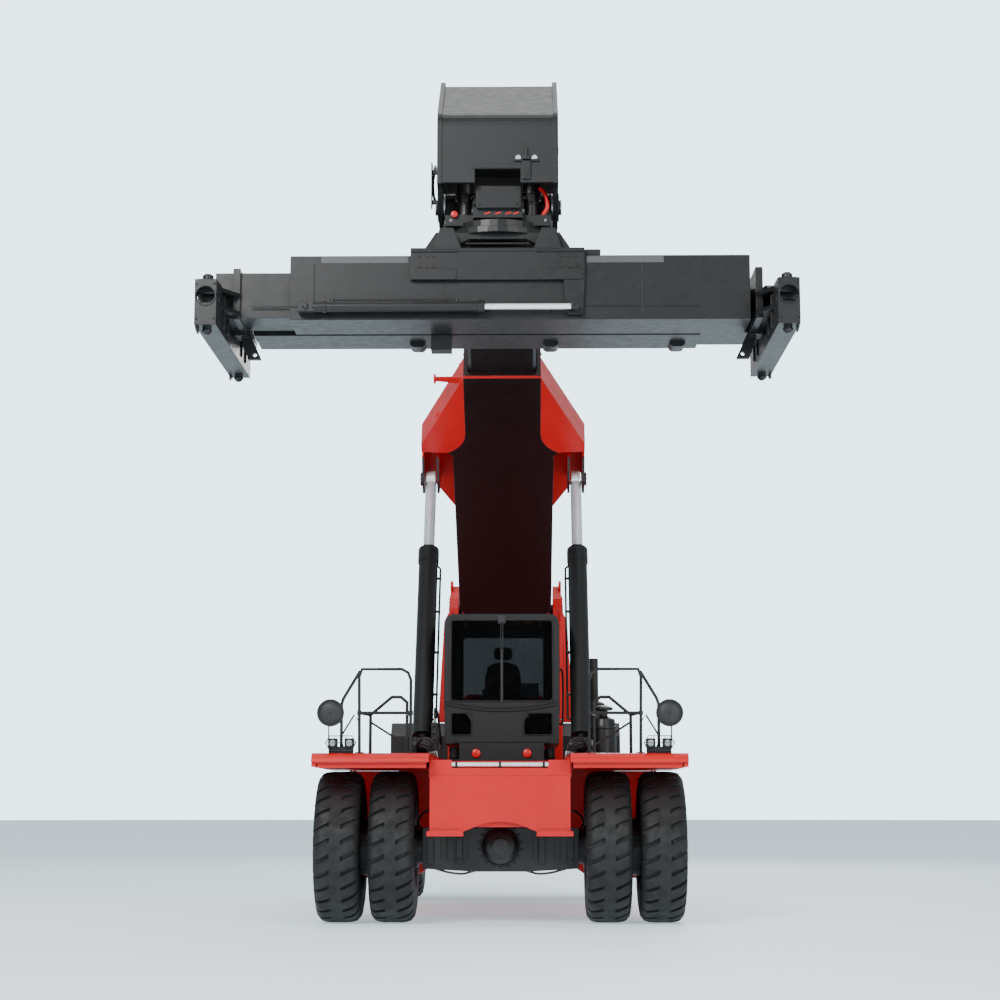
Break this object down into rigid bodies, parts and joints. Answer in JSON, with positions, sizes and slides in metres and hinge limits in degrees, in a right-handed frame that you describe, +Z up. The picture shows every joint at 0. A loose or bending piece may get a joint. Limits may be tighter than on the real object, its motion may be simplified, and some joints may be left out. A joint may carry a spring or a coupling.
{
  "type": "reach stacker",
  "caption": "Container handling vehicle with a telescopic lifting boom over a central cab, twin front wheels, steered rear wheels and a slewing, telescoping twistlock spreader.",
  "frame": {"origin": "on the ground, under the centre of the whole machine as parked", "axes": "+Z up, +X to the machine's left side, the machine faces -Y"},
  "size_m": [6.073, 10.8075, 9.19],
  "materials": {
    "red_paint": "gloss enamel",
    "black_paint": "satin enamel",
    "head_grey": "satin enamel",
    "tyre": "matte",
    "chrome": "polished",
    "iron": "rough",
    "glass": "tinted",
    "seat": "matte"
  },
  "bodies": {
    "chassis": {"main_frame": "red_paint", "nose_plate": "red_paint", "nose_bar": "chrome", "front_axle": "black_paint", "engine_block": "iron", "counterweight": "black_paint", "boom_pivot_pin": "iron", "rear_axle": "black_paint", "fuel_tank": "red_paint", "hydraulic_tank": "red_paint", "cab_frame": "black_paint", "cab_windscreen": "glass", "cab_rear_window": "glass", "cab_right_window": "glass", "cab_quarter_window": "glass", "cab_roof_window": "glass", "driver_seat": "seat", "steering_console": "seat", "cab_mount": "black_paint", "deck_left": "red_paint", "deck_right": "red_paint", "steps_left": "black_paint", "steps_right": "black_paint", "handrail_left": "black_paint", "handrail_right": "black_paint", "headlamps_left": "black_paint", "headlamps_right": "black_paint", "boom_tower_left": "red_paint", "boom_tower_right": "red_paint", "lift_bracket_left": "black_paint", "lift_bracket_right": "black_paint"},
    "hood": {"engine_hood": "red_paint"},
    "door": {"cab_door": "black_paint", "door_window": "glass"},
    "boom": {"outer_boom": "red_paint"},
    "boom_extension": {"inner_boom": "black_paint", "boom_head": "head_grey"},
    "hanger": {"spreader_hanger": "black_paint"},
    "slew_frame": {"rotator": "black_paint", "side_shift_rod": "chrome"},
    "spreader": {"spreader_frame": "black_paint", "side_shift_barrel": "black_paint"},
    "telescope_left": {"telescopic_beam_left": "black_paint"},
    "telescope_right": {"telescopic_beam_right": "black_paint"},
    "front_wheels_left": {"front_outer_tyre_left": "tyre", "front_inner_tyre_left": "tyre", "front_rim_left": "black_paint"},
    "front_wheels_right": {"front_outer_tyre_right": "tyre", "front_inner_tyre_right": "tyre", "front_rim_right": "black_paint"},
    "steering_left": {"steering_knuckle_left": "iron"},
    "rear_wheel_left": {"rear_tyre_left": "tyre", "rear_rim_left": "black_paint"},
    "steering_right": {"steering_knuckle_right": "iron"},
    "rear_wheel_right": {"rear_tyre_right": "tyre", "rear_rim_right": "black_paint"},
    "lift_barrel_left": {"lift_barrel_left": "black_paint"},
    "lift_rod_left": {"lift_rod_left": "chrome"},
    "lift_barrel_right": {"lift_barrel_right": "black_paint"},
    "lift_rod_right": {"lift_rod_right": "chrome"}
  },
  "joints": [
    {"name": "boom_lift", "type": "hinge", "parent": "chassis", "child": "boom", "pos_m": [0, 4.144, 4.1], "axis": [-1, 0, 0], "range_deg": [-16, 30]},
    {"name": "boom_slide", "type": "slide", "parent": "boom", "child": "boom_extension", "axis": [0, 0.866, -0.5], "range_m": [-2.3, 1.3]},
    {"name": "spreader_tilt", "type": "hinge", "parent": "boom_extension", "child": "hanger", "pos_m": [0, -4.134, 7.646], "axis": [-1, 0, 0], "range_deg": [-30, 16]},
    {"name": "spreader_slew", "type": "hinge", "parent": "hanger", "child": "slew_frame", "pos_m": [0, -4.134, 7.275], "axis": [0, 0, 1], "range_deg": [-105, 195]},
    {"name": "side_shift", "type": "slide", "parent": "slew_frame", "child": "spreader", "axis": [1, 0, 0], "range_m": [-0.8, 0.8]},
    {"name": "telescope_left_slide", "type": "slide", "parent": "spreader", "child": "telescope_left", "axis": [1, 0, 0], "range_m": [0, 3.05]},
    {"name": "telescope_right_slide", "type": "slide", "parent": "spreader", "child": "telescope_right", "axis": [-1, 0, 0], "range_m": [0, 3.05]},
    {"name": "front_wheels_left_spin", "type": "hinge", "parent": "chassis", "child": "front_wheels_left", "pos_m": [1.62, -2.056, 0.838], "axis": [1, 0, 0], "continuous": true},
    {"name": "front_wheels_right_spin", "type": "hinge", "parent": "chassis", "child": "front_wheels_right", "pos_m": [-1.62, -2.056, 0.838], "axis": [1, 0, 0], "continuous": true},
    {"name": "steer_left", "type": "hinge", "parent": "chassis", "child": "steering_left", "pos_m": [1.15, 4.064, 0.838], "axis": [0, 0, 1], "range_deg": [-50, 50]},
    {"name": "rear_wheel_left_spin", "type": "hinge", "parent": "steering_left", "child": "rear_wheel_left", "pos_m": [1.42, 4.064, 0.838], "axis": [1, 0, 0], "continuous": true},
    {"name": "steer_right", "type": "hinge", "parent": "chassis", "child": "steering_right", "pos_m": [-1.15, 4.064, 0.838], "axis": [0, 0, 1], "range_deg": [-50, 50]},
    {"name": "rear_wheel_right_spin", "type": "hinge", "parent": "steering_right", "child": "rear_wheel_right", "pos_m": [-1.42, 4.064, 0.838], "axis": [1, 0, 0], "continuous": true},
    {"name": "lift_swing_left", "type": "hinge", "parent": "chassis", "child": "lift_barrel_left", "pos_m": [0.94, -1.139, 2], "axis": [-1, 0, 0], "range_deg": [-0.4, 0.7]},
    {"name": "lift_stroke_left", "type": "slide", "parent": "lift_barrel_left", "child": "lift_rod_left", "axis": [0, 0.4792, 0.8777], "range_m": [-1.02, 1.9]},
    {"name": "lift_swing_right", "type": "hinge", "parent": "chassis", "child": "lift_barrel_right", "pos_m": [-0.94, -1.139, 2], "axis": [-1, 0, 0], "range_deg": [-0.4, 0.7]},
    {"name": "lift_stroke_right", "type": "slide", "parent": "lift_barrel_right", "child": "lift_rod_right", "axis": [0, 0.4792, 0.8777], "range_m": [-1.02, 1.9]},
    {"name": "cab_door_hinge", "type": "hinge", "parent": "chassis", "child": "door", "pos_m": [0.7, 0.574, 2.8], "axis": [0, 0, 1], "range_deg": [0, 85]},
    {"name": "hood_hinge", "type": "hinge", "parent": "chassis", "child": "hood", "pos_m": [-0.62, 2.019, 1.9], "axis": [0, -1, 0], "range_deg": [0, 50]}
  ],
  "couplings": [
    {"joint": "spreader_tilt", "follows": "boom_lift", "ratio": -1},
    {"joint": "telescope_right_slide", "follows": "telescope_left_slide", "ratio": 1},
    {"joint": "steer_right", "follows": "steer_left", "ratio": 1},
    {"joint": "lift_swing_left", "follows": "boom_lift", "ratio": 0.0173},
    {"joint": "lift_stroke_left", "follows": "boom_lift", "m_per_rad": 3.6014},
    {"joint": "lift_swing_right", "follows": "boom_lift", "ratio": 0.0173},
    {"joint": "lift_stroke_right", "follows": "boom_lift", "m_per_rad": 3.6014}
  ]
}
